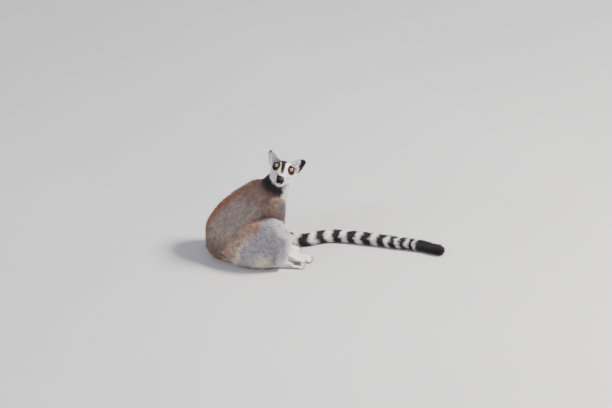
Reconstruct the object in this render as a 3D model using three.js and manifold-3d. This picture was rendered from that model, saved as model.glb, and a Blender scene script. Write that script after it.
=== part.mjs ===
// Ring-tailed lemur, an adult at life size, sitting with its knees drawn up, its head turned to its
// right and its tail laid along the ground. Every form reaches out to the tips of the coat.
// Millimetres. The origin is the middle of the flat that it sits on, at the ground. +Z is up, the tail
// runs towards +X and the face looks to -Y.
import * as THREE from 'three';
import { mergeVertices } from 'three/addons/utils/BufferGeometryUtils.js';
import Module from 'manifold-3d';

const wasm = await Module();
wasm.setup();

// ---------------------------------------------------------------- driving dimensions
const GAP = 0.3;
const TURN = Math.PI / 180;

const HIPS = { x: 8, y: -1 };
const BODY_YAW = -18 * TURN;

const EYE_LINE = new THREE.Vector3(140, -71, 281);
const HEAD_YAW = -93 * TURN;
const HEAD_PITCH = 20 * TURN;
const HEAD_ROLL = -15.5 * TURN;

const EYE_RADIUS = 7.8;
const EYE_SPACING = 34.6;
const EYE_DEPTH = 5.4;
const NOSE_FORWARD = 38;
const NOSE_DROP = 24;
const EAR_LENGTH = 38;
const EAR_HALF_WIDTH = 16.5;
const EAR_WALL = 3.4;

const TRUNK_ROUND = 14;
const LIMB_ROUND = 11;
const TAIL_ROUND = 9;
const ARM_ROUND = 9;
const DIGIT_ROUND = 5;

const FOOT_LENGTH = 92;
const HAND_LENGTH = 62;
const DIGIT_RADIUS = 3.8;
const TAIL_RADIUS = 16.5;
const TAIL_HEIGHT = 15;

// ---------------------------------------------------------------- frames of the body and the head
const bodyForward = new THREE.Vector3(Math.cos(BODY_YAW), Math.sin(BODY_YAW), 0);
const bodyLeft = new THREE.Vector3(-Math.sin(BODY_YAW), Math.cos(BODY_YAW), 0);
const UP = new THREE.Vector3(0, 0, 1);

function fromBody(forward, left, up) {
  const point = new THREE.Vector3(HIPS.x, HIPS.y, up);
  return point.addScaledVector(bodyForward, forward).addScaledVector(bodyLeft, left);
}

const headForward = new THREE.Vector3(
  Math.cos(HEAD_PITCH) * Math.cos(HEAD_YAW),
  Math.cos(HEAD_PITCH) * Math.sin(HEAD_YAW),
  Math.sin(HEAD_PITCH),
);
const levelLeft = new THREE.Vector3(-Math.sin(HEAD_YAW), Math.cos(HEAD_YAW), 0);
const headLeft = levelLeft.clone().applyAxisAngle(headForward, HEAD_ROLL);
const headUp = new THREE.Vector3().crossVectors(headForward, headLeft);

function headDirection(forward, left, up) {
  const direction = new THREE.Vector3().addScaledVector(headForward, forward);
  return direction.addScaledVector(headLeft, left).addScaledVector(headUp, up);
}

function fromHead(forward, left, up) {
  return headDirection(forward, left, up).add(EYE_LINE);
}

// ---------------------------------------------------------------- lofts and solids
function station(at, wide, deep) {
  return { at, wide, deep };
}

function toSolid(geometry) {
  const position = geometry.attributes.position;
  const vertProperties = new Float32Array(position.array);
  const triVerts = new Uint32Array(geometry.index.array);
  return new wasm.Manifold(new wasm.Mesh({ numProp: 3, vertProperties, triVerts }));
}

// Closed surface over a row of rings of points, with one pole point past each end.
function skinRings(rings, firstPole, lastPole) {
  const around = rings[0].length;
  const points = [...rings.flat(), firstPole, lastPole];
  const first = points.length - 2;
  const last = points.length - 1;
  const lastRing = (rings.length - 1) * around;
  const faces = [];
  for (let ring = 0; ring < rings.length - 1; ring += 1) {
    for (let k = 0; k < around; k += 1) {
      const a = ring * around + k;
      const b = ring * around + ((k + 1) % around);
      faces.push(a, b, b + around, a, b + around, a + around);
    }
  }
  for (let k = 0; k < around; k += 1) {
    const next = (k + 1) % around;
    faces.push(first, next, k);
    faces.push(last, lastRing + k, lastRing + next);
  }
  const geometry = new THREE.BufferGeometry().setFromPoints(points);
  geometry.setIndex(faces);
  return toSolid(geometry);
}

// Oval loft through the stations; 'side' is the direction that each half-width is measured along.
// Ends are domes 'startDome' and 'endDome' times the end's radius deep, or flat where that is 0.
function loft(stations, side, options, grow) {
  const { around = LIMB_ROUND, steps = 8, from = 0, to = 1, startDome = 1, endDome = 1 } = options;
  const path = new THREE.CatmullRomCurve3(stations.map((each) => each.at));
  const sizes = new THREE.CatmullRomCurve3(
    stations.map((each) => new THREE.Vector3(each.wide, each.deep, 0)),
  );
  const rings = [];
  const ringAt = (t, shift, shrink) => {
    const along = path.getTangent(t);
    const across = side.clone().addScaledVector(along, -side.dot(along)).normalize();
    const over = new THREE.Vector3().crossVectors(along, across);
    const size = sizes.getPoint(t);
    const centre = path.getPoint(t).addScaledVector(along, shift);
    const ring = [];
    for (let k = 0; k < around; k += 1) {
      const angle = (2 * Math.PI * k) / around;
      const point = centre.clone();
      point.addScaledVector(across, (size.x + grow) * shrink * Math.cos(angle));
      point.addScaledVector(over, (size.y + grow) * shrink * Math.sin(angle));
      ring.push(point);
    }
    return ring;
  };
  const radiusAt = (t) => Math.min(sizes.getPoint(t).x, sizes.getPoint(t).y);
  const poleAt = (t, shift) => path.getPoint(t).addScaledVector(path.getTangent(t), shift);
  const startDepth = radiusAt(from) * startDome + grow;
  const endDepth = radiusAt(to) * endDome + grow;
  const domeAngles = around > DIGIT_ROUND ? [62 * TURN, 32 * TURN] : [45 * TURN];
  if (startDome > 0) {
    domeAngles.forEach((angle) => {
      rings.push(ringAt(from, -startDepth * Math.sin(angle), Math.cos(angle)));
    });
  }
  for (let i = 0; i <= steps; i += 1) {
    const flatShift = (startDome === 0 && i === 0 ? -grow : 0) + (endDome === 0 && i === steps ? grow : 0);
    rings.push(ringAt(from + ((to - from) * i) / steps, flatShift, 1));
  }
  if (endDome > 0) {
    [...domeAngles].reverse().forEach((angle) => {
      rings.push(ringAt(to, endDepth * Math.sin(angle), Math.cos(angle)));
    });
  }
  return skinRings(rings, poleAt(from, -startDepth), poleAt(to, endDepth));
}

function ball(centre, radius, grow) {
  const geometry = new THREE.SphereGeometry(radius + grow, 12, 6);
  return placedSolid(geometry, new THREE.Matrix4().setPosition(centre));
}

function placedSolid(geometry, matrix) {
  const merged = weld(geometry);
  merged.applyMatrix4(matrix);
  return toSolid(merged);
}

function weld(geometry) {
  const bare = geometry.clone();
  bare.deleteAttribute('normal');
  bare.deleteAttribute('uv');
  return mergeVertices(bare, 1e-4);
}

function block(corner, opposite, matrix) {
  const size = new THREE.Vector3().subVectors(opposite, corner);
  const geometry = new THREE.BoxGeometry(size.x, size.y, size.z);
  geometry.translate(corner.x + size.x / 2, corner.y + size.y / 2, corner.z + size.z / 2);
  return placedSolid(geometry, matrix);
}

const headMatrix = new THREE.Matrix4().makeBasis(headForward, headLeft, headUp).setPosition(EYE_LINE);

// ---------------------------------------------------------------- trunk and neck
const trunkStations = [
  station(fromBody(-11, 0, 44), 52, 50),
  station(fromBody(-1, 0, 68), 56, 60),
  station(fromBody(18, 0, 102), 54, 59),
  station(fromBody(43, 0, 136), 50, 53),
  station(fromBody(75, 0, 168), 46, 50),
  station(fromBody(107, 0, 191), 40, 46),
  station(fromBody(121, 1, 215), 32, 36),
  station(fromHead(-54, 0, -24), 26, 27),
  station(fromHead(-38, 0, -14), 21, 21),
];

function trunkLength(from, to, steps, startDome, endDome) {
  const options = { around: TRUNK_ROUND, from, to, steps, startDome, endDome };
  return (grow) => loft(trunkStations, bodyLeft, options, grow);
}

// ---------------------------------------------------------------- head
const skullStations = [
  station(fromHead(-62, 0, -14.5), 18, 15),
  station(fromHead(-50, 0, -14), 26.5, 22.5),
  station(fromHead(-33, 0, -14.5), 30, 26.5),
  station(fromHead(-16, 0, -15), 30, 28),
  station(fromHead(-5, 0, -14.5), 26.5, 25.5),
  station(fromHead(6, 0, -16), 19.5, 18.5),
  station(fromHead(17, 0, -19.5), 13.5, 14.5),
  station(fromHead(27, 0, -22.5), 11, 12),
  station(fromHead(33, 0, -24), 9, 9.5),
];

function wholeHead(grow) {
  const skull = loft(skullStations, headLeft, { around: 14, steps: 8, endDome: 0.5 }, grow);
  return skull.add(cheek(1, grow)).add(cheek(-1, grow));
}

function cheek(hand, grow) {
  const stations = [
    station(fromHead(-27, 16.5 * hand, -28), 13, 15),
    station(fromHead(-9, 14.5 * hand, -29), 11.5, 13.5),
    station(fromHead(7, 8.5 * hand, -28), 7, 9),
  ];
  return loft(stations, headLeft, { around: 7, steps: 3 }, grow);
}

// Everything of the head below the line of the mouth and ahead of its corners.
function jawSpace(grow) {
  const corner = new THREE.Vector3(2 - grow, -40, -60);
  const opposite = new THREE.Vector3(60, 40, -32 + grow);
  return block(corner, opposite, headMatrix);
}

function lowerJaw(grow) {
  const stations = [
    station(fromHead(-4, 0, -36), 13, 11),
    station(fromHead(14, 0, -36.5), 11, 8),
    station(fromHead(28, 0, -35), 7.5, 5.5),
  ];
  return loft(stations, headLeft, { around: 12, steps: 5 }, grow).intersect(jawSpace(grow));
}

function nose(grow) {
  const stations = [
    station(fromHead(NOSE_FORWARD - 8, 0, -NOSE_DROP + 3), 7.5, 6.5),
    station(fromHead(NOSE_FORWARD - 3, 0, -NOSE_DROP + 0.5), 6.5, 6),
  ];
  return loft(stations, headLeft, { around: 10, steps: 2, endDome: 0.6 }, grow);
}

function eye(hand, grow) {
  return ball(fromHead(-EYE_DEPTH, (hand * EYE_SPACING) / 2, 0), EYE_RADIUS, grow);
}

// Cupped leaf: each section is a crescent with its hollow towards the front of the head.
function ear(hand, grow) {
  const base = fromHead(-32, 20 * hand, -8);
  const axis = headDirection(-0.4, 0.56 * hand, 0.72).normalize();
  const open = headDirection(0.86, 0.42 * hand, 0.05);
  open.addScaledVector(axis, -open.dot(axis)).normalize();
  const across = new THREE.Vector3().crossVectors(axis, open).multiplyScalar(hand);
  const ARC_STEPS = 5;
  const rings = [];
  const lengths = [-0.12, 0.1, 0.32, 0.55, 0.75, 0.9, 1];
  const crescent = (part) => {
    const width = EAR_HALF_WIDTH * Math.sqrt(Math.max(0.06, 1 - ((part - 0.3) / 0.72) ** 2)) + grow;
    const cup = width * 0.62;
    const beyond = Math.sign(part - 0.5) * grow;
    const centre = base.clone().addScaledVector(axis, EAR_LENGTH * part + beyond);
    const ring = [];
    for (let k = 0; k <= ARC_STEPS; k += 1) {
      const angle = -Math.PI / 2 + (Math.PI * k) / ARC_STEPS;
      const point = centre.clone().addScaledVector(across, width * Math.sin(angle));
      ring.push(point.addScaledVector(open, -(cup + grow) * Math.cos(angle)));
    }
    const wall = EAR_WALL + 2 * grow;
    for (let k = 1; k < ARC_STEPS; k += 1) {
      const angle = Math.PI / 2 - (Math.PI * k) / ARC_STEPS;
      const point = centre.clone().addScaledVector(across, (width - wall * 0.4) * Math.sin(angle));
      ring.push(point.addScaledVector(open, (wall - cup) * Math.cos(angle)));
    }
    return ring;
  };
  lengths.forEach((part) => rings.push(hand > 0 ? crescent(part).reverse() : crescent(part)));
  const middle = (ring) => ring.reduce((sum, p) => sum.add(p), new THREE.Vector3()).divideScalar(ring.length);
  return skinRings(rings, middle(rings[0]), middle(rings[rings.length - 1]));
}

// ---------------------------------------------------------------- limbs
// Joints of each limb in the body's frame: forward, left and up.
const HIP_HALF = 33;
const legs = {
  right: {
    hip: [6, -HIP_HALF, 44],
    knee: [137, -47, 121],
    ankle: [139, -30, 24],
    heel: [105, -24, 12.5],
    toes: [181, 4, 7],
  },
  left: {
    hip: [6, HIP_HALF, 46],
    knee: [78, 36, 126],
    ankle: [140, 22, 24],
    heel: [112, 20, 12.5],
    toes: [180, 34, 7],
  },
};
const arms = {
  right: {
    shoulder: [120, -30, 187],
    elbow: [126, -10, 110],
    wrist: [141, -10, 40],
    fingers: [172, 0, 24],
    rest: 17,
  },
  left: {
    shoulder: [100, 30, 180],
    elbow: [92, 76, 108],
    wrist: [104, 70, 24],
    fingers: [134, 68, 7],
    rest: 0,
  },
};

function between(start, end, part) {
  return start.map((value, axis) => value + (end[axis] - value) * part);
}

function thigh(leg, grow) {
  const stations = [
    station(fromBody(...leg.hip), 31, 40),
    station(fromBody(...between(leg.hip, leg.knee, 0.34)).setZ(leg.knee[2] * 0.47), 34, 61),
    station(fromBody(...between(leg.hip, leg.knee, 0.7)).setZ(leg.knee[2] * 0.75), 32, 56),
    station(fromBody(...leg.knee), 28, 38),
  ];
  return loft(stations, bodyLeft, { steps: 6, startDome: 0.8, endDome: 0.75 }, grow);
}

function shank(leg, grow) {
  const stations = [
    station(fromBody(...between(leg.knee, leg.ankle, 0.1)), 24, 33),
    station(fromBody(...between(leg.knee, leg.ankle, 0.38)), 22, 31),
    station(fromBody(...between(leg.knee, leg.ankle, 0.7)), 17.5, 24),
    station(fromBody(...between(leg.knee, leg.ankle, 0.96)), 14, 17),
  ];
  return loft(stations, bodyLeft, { steps: 5, startDome: 0.5 }, grow);
}

function upperArm(arm, grow) {
  const stations = [
    station(fromBody(...arm.shoulder), 24, 33),
    station(fromBody(...between(arm.shoulder, arm.elbow, 0.35)), 22, 30),
    station(fromBody(...between(arm.shoulder, arm.elbow, 0.75)), 18, 22),
    station(fromBody(...arm.elbow), 16, 18),
  ];
  return loft(stations, bodyLeft, { around: ARM_ROUND, steps: 5, startDome: 0.8 }, grow);
}

function forearm(arm, grow) {
  const stations = [
    station(fromBody(...between(arm.elbow, arm.wrist, 0.06)), 14.5, 16),
    station(fromBody(...between(arm.elbow, arm.wrist, 0.4)), 13.5, 15),
    station(fromBody(...between(arm.elbow, arm.wrist, 0.96)), 10, 10.5),
  ];
  return loft(stations, bodyLeft, { around: ARM_ROUND, steps: 4, startDome: 0.5 }, grow);
}

// One digit from its knuckle to its tip, its pad resting on the ground.
function digit(root, tip, grow) {
  const middle = new THREE.Vector3().lerpVectors(root, tip, 0.55);
  middle.z += 1.6;
  const stations = [
    station(root, DIGIT_RADIUS + 0.6, DIGIT_RADIUS + 0.6),
    station(middle, DIGIT_RADIUS, DIGIT_RADIUS),
    station(tip, DIGIT_RADIUS - 0.4, DIGIT_RADIUS - 0.3),
  ];
  return loft(stations, bodyLeft, { around: DIGIT_ROUND, steps: 2, startDome: 0.5, endDome: 0.9 }, grow);
}

function pawFrame(back, front) {
  const ahead = new THREE.Vector3().subVectors(front, back).setZ(0).normalize();
  const aside = new THREE.Vector3().crossVectors(UP, ahead);
  return { ahead, aside };
}

// Four digits spread over the front of a paw and the first digit set apart on its inner side.
function digits(root, frame, inner, spread, length, rest, grow) {
  let joined = null;
  [-1.5, -0.5, 0.5, 1.5].forEach((place, index) => {
    const knuckle = root.clone().addScaledVector(frame.aside, place * spread);
    const reach = length * (1 - 0.1 * Math.abs(index - 1.5));
    const tip = knuckle.clone().addScaledVector(frame.ahead, reach);
    tip.addScaledVector(frame.aside, place * spread * 0.35).setZ(rest + DIGIT_RADIUS - 1);
    const toe = digit(knuckle, tip, grow);
    joined = joined ? joined.add(toe) : toe;
  });
  const thumbRoot = root.clone().addScaledVector(frame.ahead, -length * 0.7);
  thumbRoot.addScaledVector(frame.aside, inner * spread * 1.2);
  const thumbTip = thumbRoot.clone().addScaledVector(frame.ahead, length * 0.66);
  thumbTip.addScaledVector(frame.aside, inner * spread * 1.7).setZ(rest + DIGIT_RADIUS - 1);
  return joined.add(digit(thumbRoot, thumbTip, grow));
}

function foot(leg, inner, grow) {
  const heel = fromBody(...leg.heel);
  const toes = fromBody(...leg.toes);
  const frame = pawFrame(heel, toes);
  const ballAt = heel.clone().addScaledVector(frame.ahead, FOOT_LENGTH * 0.6).setZ(10);
  const instep = heel.clone().addScaledVector(frame.ahead, FOOT_LENGTH * 0.3).setZ(15);
  const stations = [
    station(heel, 10.5, 13),
    station(instep, 12, 15.5),
    station(ballAt, 13.5, 10.5),
  ];
  const sole = loft(stations, frame.aside, { around: 8, steps: 4, startDome: 0.8, endDome: 0.6 }, grow);
  const knuckles = heel.clone().addScaledVector(frame.ahead, FOOT_LENGTH * 0.64).setZ(7);
  return sole.add(digits(knuckles, frame, inner, 6.6, FOOT_LENGTH * 0.3, 0, grow));
}

function paw(arm, inner, grow) {
  const wrist = fromBody(...arm.wrist);
  const frame = pawFrame(wrist, fromBody(...arm.fingers));
  const palm = wrist.clone().addScaledVector(frame.ahead, HAND_LENGTH * 0.36).setZ(arm.rest + 9);
  const stations = [
    station(wrist, 9.5, 10),
    station(wrist.clone().lerp(palm, 0.5), 10, 9.5),
    station(palm, 11.5, 8.5),
  ];
  const heel = loft(stations, frame.aside, { around: 8, steps: 3, startDome: 0.8, endDome: 0.6 }, grow);
  const knuckles = wrist.clone().addScaledVector(frame.ahead, HAND_LENGTH * 0.42).setZ(arm.rest + 7);
  return heel.add(digits(knuckles, frame, inner, 5.4, HAND_LENGTH * 0.42, arm.rest, grow));
}

// ---------------------------------------------------------------- tail
const tailPath = [
  [-22, 29, 40],
  [-8, 75, 17],
  [44, 93, TAIL_HEIGHT],
  [103, 79, TAIL_HEIGHT],
  [148, 54, TAIL_HEIGHT],
  [186, 48, TAIL_HEIGHT],
  [224, 60, TAIL_HEIGHT],
  [263, 67, TAIL_HEIGHT],
  [334, 54, TAIL_HEIGHT],
  [403, 37, TAIL_HEIGHT],
  [465, 22, TAIL_HEIGHT - 0.8],
  [510, 3, TAIL_HEIGHT - 2],
];
const TAIL_LENGTHS = 7;

function tailStations() {
  return tailPath.map(([x, y, z], index) => {
    const part = index / (tailPath.length - 1);
    const radius = TAIL_RADIUS * (0.94 + 0.1 * Math.sin(Math.PI * part) - 0.08 * part ** 3);
    return station(new THREE.Vector3(x, y, z), radius, radius);
  });
}

function tailLength(index, grow) {
  const from = index / TAIL_LENGTHS;
  const to = (index + 1) / TAIL_LENGTHS;
  const options = {
    around: TAIL_ROUND,
    steps: 4,
    from,
    to,
    startDome: index === 0 ? 0.6 : 0,
    endDome: index === TAIL_LENGTHS - 1 ? 0.9 : 0,
  };
  return loft(tailStations(), UP, options, grow);
}

// ---------------------------------------------------------------- sub-parts
// Each sub-part gives way to the ones before it, so that neighbours keep a thin gap.
const COLOURS = {
  back: 0x8a6a52,
  flank: 0x93857b,
  limb: 0xa7a3a6,
  arm: 0x94806f,
  dark: 0x34323a,
  face: 0xe8e4e2,
  foot: 0xf2f0ee,
  amber: 0xc8761a,
  black: 0x131214,
};

const subParts = [];

function subPart(name, colour, roughness, shape) {
  subParts.push({ name, colour, roughness, shape });
}

const sides = [
  ['left', 1],
  ['right', -1],
];

sides.forEach(([name, hand]) => subPart(`eye_${name}`, COLOURS.amber, 0.15, (grow) => eye(hand, grow)));
subPart('nose', COLOURS.black, 0.5, nose);
subPart('lower_jaw', COLOURS.face, 0.9, lowerJaw);
subPart('head', COLOURS.face, 0.95, wholeHead);
subPart('neck', COLOURS.dark, 0.95, trunkLength(0.7, 1, 5, 0, 0.8));
sides.forEach(([name, hand]) => subPart(`ear_${name}`, COLOURS.face, 0.95, (grow) => ear(hand, grow)));
subPart('rump', COLOURS.back, 0.95, trunkLength(0, 0.22, 4, 1, 0));
subPart('belly', COLOURS.flank, 0.95, trunkLength(0.22, 0.45, 4, 0, 0));
subPart('chest', COLOURS.back, 0.95, trunkLength(0.45, 0.7, 4, 0, 0));
sides.forEach(([name]) => {
  const leg = legs[name];
  subPart(`thigh_${name}`, COLOURS.limb, 0.95, (grow) => thigh(leg, grow));
  subPart(`shank_${name}`, COLOURS.limb, 0.95, (grow) => shank(leg, grow));
});
sides.forEach(([name, hand]) => {
  const arm = arms[name];
  subPart(`upper_arm_${name}`, COLOURS.arm, 0.95, (grow) => upperArm(arm, grow));
  subPart(`forearm_${name}`, COLOURS.limb, 0.95, (grow) => forearm(arm, grow));
  subPart(`foot_${name}`, COLOURS.foot, 0.95, (grow) => foot(legs[name], -hand, grow));
  subPart(`hand_${name}`, COLOURS.foot, 0.95, (grow) => paw(arm, -hand, grow));
});
for (let index = 0; index < TAIL_LENGTHS; index += 1) {
  const colour = index % 2 === 0 ? COLOURS.dark : COLOURS.face;
  subPart(`tail_${index + 1}`, colour, 0.95, (grow) => tailLength(index, grow));
}

const ground = block(
  new THREE.Vector3(-400, -400, -200),
  new THREE.Vector3(800, 400, 0),
  new THREE.Matrix4(),
);

function biggestBody(solid) {
  return solid.decompose().reduce((a, b) => (a.volume() > b.volume() ? a : b));
}

function toMesh({ name, colour, roughness }, solid) {
  const { vertProperties, triVerts } = solid.getMesh();
  const geometry = new THREE.BufferGeometry();
  geometry.setAttribute('position', new THREE.BufferAttribute(vertProperties, 3));
  geometry.setIndex(new THREE.BufferAttribute(triVerts, 1));
  geometry.computeVertexNormals();
  const material = new THREE.MeshStandardMaterial({ color: colour, roughness, metalness: 0 });
  const mesh = new THREE.Mesh(geometry, material);
  mesh.name = name;
  return mesh;
}

const group = new THREE.Group();
group.name = 'ring_tailed_lemur';
let taken = ground;
subParts.forEach((each) => {
  const solid = each.shape(0).subtract(taken);
  group.add(toMesh(each, biggestBody(solid)));
  taken = taken.add(each.shape(GAP));
});

export default group;
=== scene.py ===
"""Ring-tailed lemur, a life-size still model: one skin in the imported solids, and a coat."""
import math

import bmesh
import bpy
import numpy as np
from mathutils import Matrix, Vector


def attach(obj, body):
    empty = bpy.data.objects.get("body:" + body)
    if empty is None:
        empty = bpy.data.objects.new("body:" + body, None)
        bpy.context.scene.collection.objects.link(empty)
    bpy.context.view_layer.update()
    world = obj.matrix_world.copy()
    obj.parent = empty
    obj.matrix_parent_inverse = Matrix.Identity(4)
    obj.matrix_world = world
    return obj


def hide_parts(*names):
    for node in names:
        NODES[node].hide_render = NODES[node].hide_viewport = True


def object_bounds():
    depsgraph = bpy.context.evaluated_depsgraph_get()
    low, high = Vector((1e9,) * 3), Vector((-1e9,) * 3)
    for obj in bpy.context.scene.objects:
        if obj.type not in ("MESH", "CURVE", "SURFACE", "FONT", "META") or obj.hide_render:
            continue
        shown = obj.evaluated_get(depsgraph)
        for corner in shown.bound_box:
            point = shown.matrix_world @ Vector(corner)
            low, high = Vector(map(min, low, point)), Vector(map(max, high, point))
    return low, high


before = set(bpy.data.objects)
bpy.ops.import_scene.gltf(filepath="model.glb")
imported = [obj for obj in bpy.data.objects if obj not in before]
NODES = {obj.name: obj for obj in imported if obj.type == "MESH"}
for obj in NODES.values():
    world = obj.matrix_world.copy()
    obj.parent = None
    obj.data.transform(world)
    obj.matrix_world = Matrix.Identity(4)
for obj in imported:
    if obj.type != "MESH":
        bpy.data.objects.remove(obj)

import openvdb
from mathutils import Matrix, Vector
from mathutils.bvhtree import BVHTree
from mathutils.kdtree import KDTree

CAD_BOX = [list(corner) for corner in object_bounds()]
MM = 0.001
RNG = np.random.default_rng(7)
# Heights over the floor that no corner of the skin or of a tuft goes below.
SKIN_OVER_FLOOR = 0.6 * MM
TUFT_OVER_FLOOR = 0.3 * MM


# ---------------------------------------------------------------- frames of the body and the head
def unit(vectors):
    vectors = np.asarray(vectors, float)
    return vectors / np.maximum(np.linalg.norm(vectors, axis=-1, keepdims=True), 1e-12)


BODY_YAW = math.radians(-18)
HEAD_YAW = math.radians(-93)
HEAD_PITCH = math.radians(20)
HEAD_ROLL = math.radians(-15.5)
UP = np.array([0.0, 0.0, 1.0])
HIPS = np.array([8.0, -1.0, 0.0]) * MM
BODY_FORWARD = np.array([math.cos(BODY_YAW), math.sin(BODY_YAW), 0.0])
BODY_LEFT = np.array([-math.sin(BODY_YAW), math.cos(BODY_YAW), 0.0])
EYE_LINE = np.array([140.0, -71.0, 281.0]) * MM
HEAD_FORWARD = np.array([
    math.cos(HEAD_PITCH) * math.cos(HEAD_YAW),
    math.cos(HEAD_PITCH) * math.sin(HEAD_YAW),
    math.sin(HEAD_PITCH),
])
LEVEL_LEFT = np.array([-math.sin(HEAD_YAW), math.cos(HEAD_YAW), 0.0])
HEAD_LEFT = np.array(Matrix.Rotation(HEAD_ROLL, 3, Vector(HEAD_FORWARD)) @ Vector(LEVEL_LEFT))
HEAD_UP = np.cross(HEAD_FORWARD, HEAD_LEFT)
HEAD_AXES = np.array([HEAD_FORWARD, HEAD_LEFT, HEAD_UP])
BODY_AXES = np.array([BODY_FORWARD, BODY_LEFT, UP])


def from_body(forward, left, up):
    return HIPS + (forward * BODY_FORWARD + left * BODY_LEFT + up * UP) * MM


def from_head(forward, left, up):
    return EYE_LINE + (forward * HEAD_FORWARD + left * HEAD_LEFT + up * HEAD_UP) * MM


def in_head(points):
    """Forward, left and up in the head's frame, in millimetres from the middle of the eye line."""
    return (np.asarray(points) - EYE_LINE) @ HEAD_AXES.T / MM


def in_body(points):
    """Forward, left and up in the body's frame, in millimetres from the hips at the ground."""
    return (np.asarray(points) - HIPS) @ BODY_AXES.T / MM


# ---------------------------------------------------------------- depth of the coat
# Depth of the coat over each node, in millimetres, from the skin to the tips that lie outermost.
COAT_DEPTH = {
    "nose": 0.4, "lower_jaw": 1.6, "head": 3.2, "neck": 9.0, "ear": 0.7, "rump": 11.0,
    "belly": 10.0, "chest": 11.0, "thigh": 8.5, "shank": 6.5, "upper_arm": 7.5, "forearm": 4.5,
    "foot": 1.6, "hand": 1.5, "tail": 8.0,
}
FLESH = sorted(name for name in NODES if not name.startswith("eye"))
EYES = sorted(name for name in NODES if name.startswith("eye"))
# Parts that keep their own form under a coat of this depth, however deep the coat is beside them.
THIN_COAT = {"ear": 0.5, "hand": 1.2, "foot": 1.2}


def kind_of(node):
    stem = node
    for ending in ("_left", "_right"):
        stem = stem.removesuffix(ending)
    return "tail" if stem.startswith("tail") else stem


# ---------------------------------------------------------------- volumes
VOXEL = 1.86 * MM
# Distance outside the solids of the surface that the coat's depth is measured from.
OUTSIDE = 0.35 * MM


def level_set(points, triangles, half_width):
    transform = openvdb.createLinearTransform(VOXEL)
    return openvdb.FloatGrid.createLevelSetFromPolygons(
        np.ascontiguousarray(points, np.float32), triangles=np.ascontiguousarray(triangles, np.uint32),
        transform=transform, halfWidth=half_width,
    )


def triangles_of(mesh):
    mesh.calc_loop_triangles()
    points = np.empty(len(mesh.vertices) * 3, np.float32)
    mesh.vertices.foreach_get("co", points)
    corners = np.empty(len(mesh.loop_triangles) * 3, np.int32)
    mesh.loop_triangles.foreach_get("vertices", corners)
    return points.reshape(-1, 3), corners.reshape(-1, 3)


def welded(points, triangles):
    _, first, back = np.unique(np.round(points / 1e-6).astype(np.int64), axis=0, return_index=True,
                               return_inverse=True)
    triangles = back.reshape(-1)[triangles]
    keep = ((triangles[:, 0] != triangles[:, 1]) & (triangles[:, 1] != triangles[:, 2])
            & (triangles[:, 2] != triangles[:, 0]))
    return points[first], triangles[keep]


def surface(values, corner, level):
    """Triangles of the level in a dense block of distances whose first voxel is at the corner."""
    grid = openvdb.FloatGrid(float(values.max()))
    grid.copyFromArray(np.ascontiguousarray(values, np.float32), ijk=tuple(int(c) for c in corner))
    grid.transform = openvdb.createLinearTransform(VOXEL)
    points, triangles, quads = grid.convertToPolygons(isovalue=level, adaptivity=0)
    split = np.concatenate([quads[:, [0, 1, 2]], quads[:, [0, 2, 3]]]) if len(quads) else quads[:, :3]
    faces = (np.concatenate([triangles, split]) if len(triangles) else split).astype(np.int64)
    points = np.asarray(points, float)
    a, b, c = (points[faces[:, k]] for k in range(3))
    inside_out = np.sum(a * np.cross(b, c)) < 0
    return points, faces[:, ::-1] if inside_out else faces


def largest_piece(points, triangles):
    """The piece of a mesh with the most corners, by spreading the lowest number along the edges."""
    label = np.arange(len(points))
    while True:
        lowest = label[triangles].min(axis=1)
        before = label.copy()
        for corner in range(3):
            np.minimum.at(label, triangles[:, corner], lowest)
        label = label[label]
        if np.array_equal(label, before):
            break
    names, counts = np.unique(label, return_counts=True)
    keep = label == names[counts.argmax()]
    number = np.cumsum(keep) - 1
    return points[keep], number[triangles[keep[triangles[:, 0]]]]


def edges_of(triangles):
    edges = np.concatenate([triangles[:, [0, 1]], triangles[:, [1, 2]], triangles[:, [2, 0]]])
    return np.unique(np.sort(edges, axis=1), axis=0)


def spread(values, edges, weight, rounds):
    """Rounds of averaging with the neighbours; the weight may differ from corner to corner."""
    count = len(values)
    both = np.concatenate([edges[:, 0], edges[:, 1]])
    other = np.concatenate([edges[:, 1], edges[:, 0]])
    degree = np.maximum(np.bincount(both, minlength=count), 1)[:, None]
    values = values.reshape(count, -1).astype(float)
    weight = np.broadcast_to(np.asarray(weight, float).reshape(-1, 1), (count, 1))
    for _ in range(rounds):
        near = np.stack([np.bincount(both, column[other], count) for column in values.T], axis=1)
        values = values + weight * (near / degree - values)
    return values


def vertex_normals(points, triangles):
    a, b, c = (points[triangles[:, k]] for k in range(3))
    face = np.cross(b - a, c - a)
    sums = [sum(np.bincount(triangles[:, k], column, len(points)) for k in range(3)) for column in face.T]
    return unit(np.stack(sums, axis=1))


def sample_block(values, corner, points):
    """Values of a dense block at the points, in straight lines between its voxels."""
    place = np.asarray(points) / VOXEL - corner
    low = np.clip(np.floor(place).astype(int), 0, np.array(values.shape) - 2)
    part = np.clip(place - low, 0, 1)
    result = 0
    for step in np.ndindex(2, 2, 2):
        weight = np.prod(np.where(step, part, 1 - part), axis=1)
        i, j, k = (low + step).T
        result = result + weight * values[i, j, k]
    return result


def ear_root(hand, first, shape):
    """Distance to a cone that ties the ear to the head under the coat."""
    places = (np.indices(shape).reshape(3, -1).T + first) * VOXEL
    start, end = from_head(-40, 16 * hand, -10), from_head(-46.2, 26.4 * hand, 4.2)
    step = end - start
    part = np.clip((places - start) @ step / (step @ step), 0, 1)
    away = np.linalg.norm(places - start - part[:, None] * step, axis=1)
    return (away - (7.0 - 4.2 * part) * MM).reshape(shape).astype(np.float32)


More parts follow.
